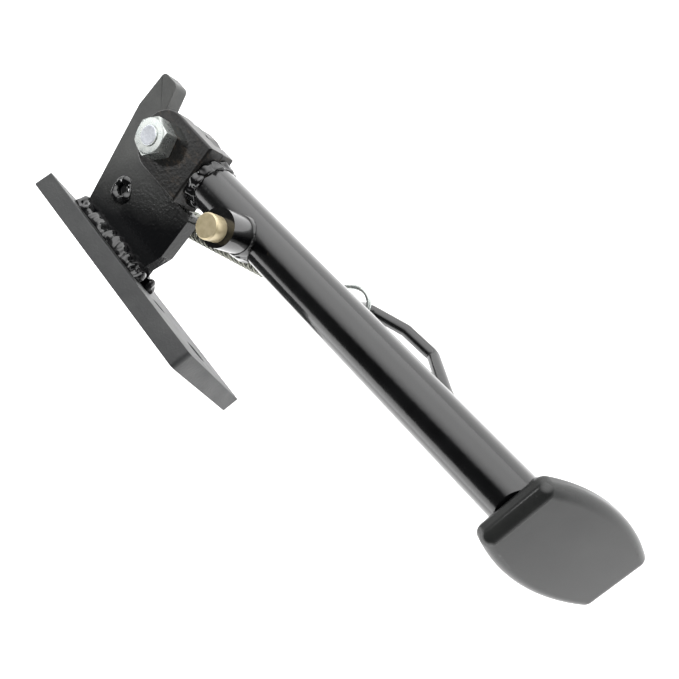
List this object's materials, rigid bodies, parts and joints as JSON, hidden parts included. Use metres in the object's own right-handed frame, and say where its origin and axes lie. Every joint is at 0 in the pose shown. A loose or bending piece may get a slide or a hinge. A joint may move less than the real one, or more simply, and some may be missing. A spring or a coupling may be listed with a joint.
{
  "type": "motorcycle side stand",
  "caption": "Bolt-on side stand: flat mounting plate with a welded pivot bracket, a swinging tubular leg with a forked head, a slanted oval foot, a foot lever and a return spring.",
  "frame": {"origin": "middle of the two-bolt pattern, on the mounting plate's outer face", "axes": "+X along the plate towards the foot of the folded leg, +Z parallel to the pivot bolt towards its nut, +Y away from the plate, the way the leg swings open"},
  "size_m": [0.3131, 0.1235, 0.0847],
  "materials": {
    "black_paint": "glossy",
    "satin_grey_paint": "satin",
    "zinc_steel": "satin",
    "yellow_zinc": "satin",
    "bush_steel": "satin"
  },
  "bodies": {
    "bracket": {"mount_plate": "black_paint", "pivot_bracket": "black_paint", "bracket_weld_inner": "black_paint", "bracket_weld_outer": "black_paint", "spring_post": "black_paint", "spring_post_weld": "black_paint"},
    "leg": {"pivot_bolt": "zinc_steel", "pivot_nut": "zinc_steel", "pivot_bush": "bush_steel", "clevis_ear_inner": "black_paint", "clevis_ear_outer": "black_paint", "clevis_block": "black_paint", "clevis_weld": "black_paint", "leg_tube": "black_paint", "stop_boss": "black_paint", "boss_weld": "black_paint", "stop_pin": "yellow_zinc", "foot_lever": "black_paint", "foot_pad": "satin_grey_paint", "foot_weld": "black_paint"},
    "spring_swing": {"spring_upper_hook": "zinc_steel", "spring_coil": "zinc_steel"},
    "spring_end": {"spring_coil_end": "zinc_steel"},
    "spring_hook": {"spring_lower_hook": "zinc_steel"}
  },
  "joints": [
    {"name": "leg_hinge", "type": "hinge", "parent": "bracket", "child": "leg", "pos_m": [-0.022, 0.07879, 0.01128], "axis": [0, 0, 1], "range_deg": [0, 104]},
    {"name": "spring_hinge", "type": "hinge", "parent": "bracket", "child": "spring_swing", "pos_m": [-0.0335, 0.04309, 0.01128], "axis": [0, 0, 1], "range_deg": [0, 81]},
    {"name": "spring_stretch", "type": "slide", "parent": "spring_swing", "child": "spring_end", "axis": [0.9492, 0.3148, 0], "range_m": [0, 0.014]},
    {"name": "hook_turn", "type": "hinge", "parent": "leg", "child": "spring_hook", "pos_m": [0.096, 0.08604, 0.01128], "axis": [0, 0, 1], "range_deg": [-24, 0]}
  ],
  "couplings": [
    {"joint": "spring_hinge", "follows": "leg_hinge", "ratio": 0.77756},
    {"joint": "spring_stretch", "follows": "leg_hinge", "m_per_rad": 0.0076822},
    {"joint": "hook_turn", "follows": "leg_hinge", "ratio": -0.22244}
  ]
}
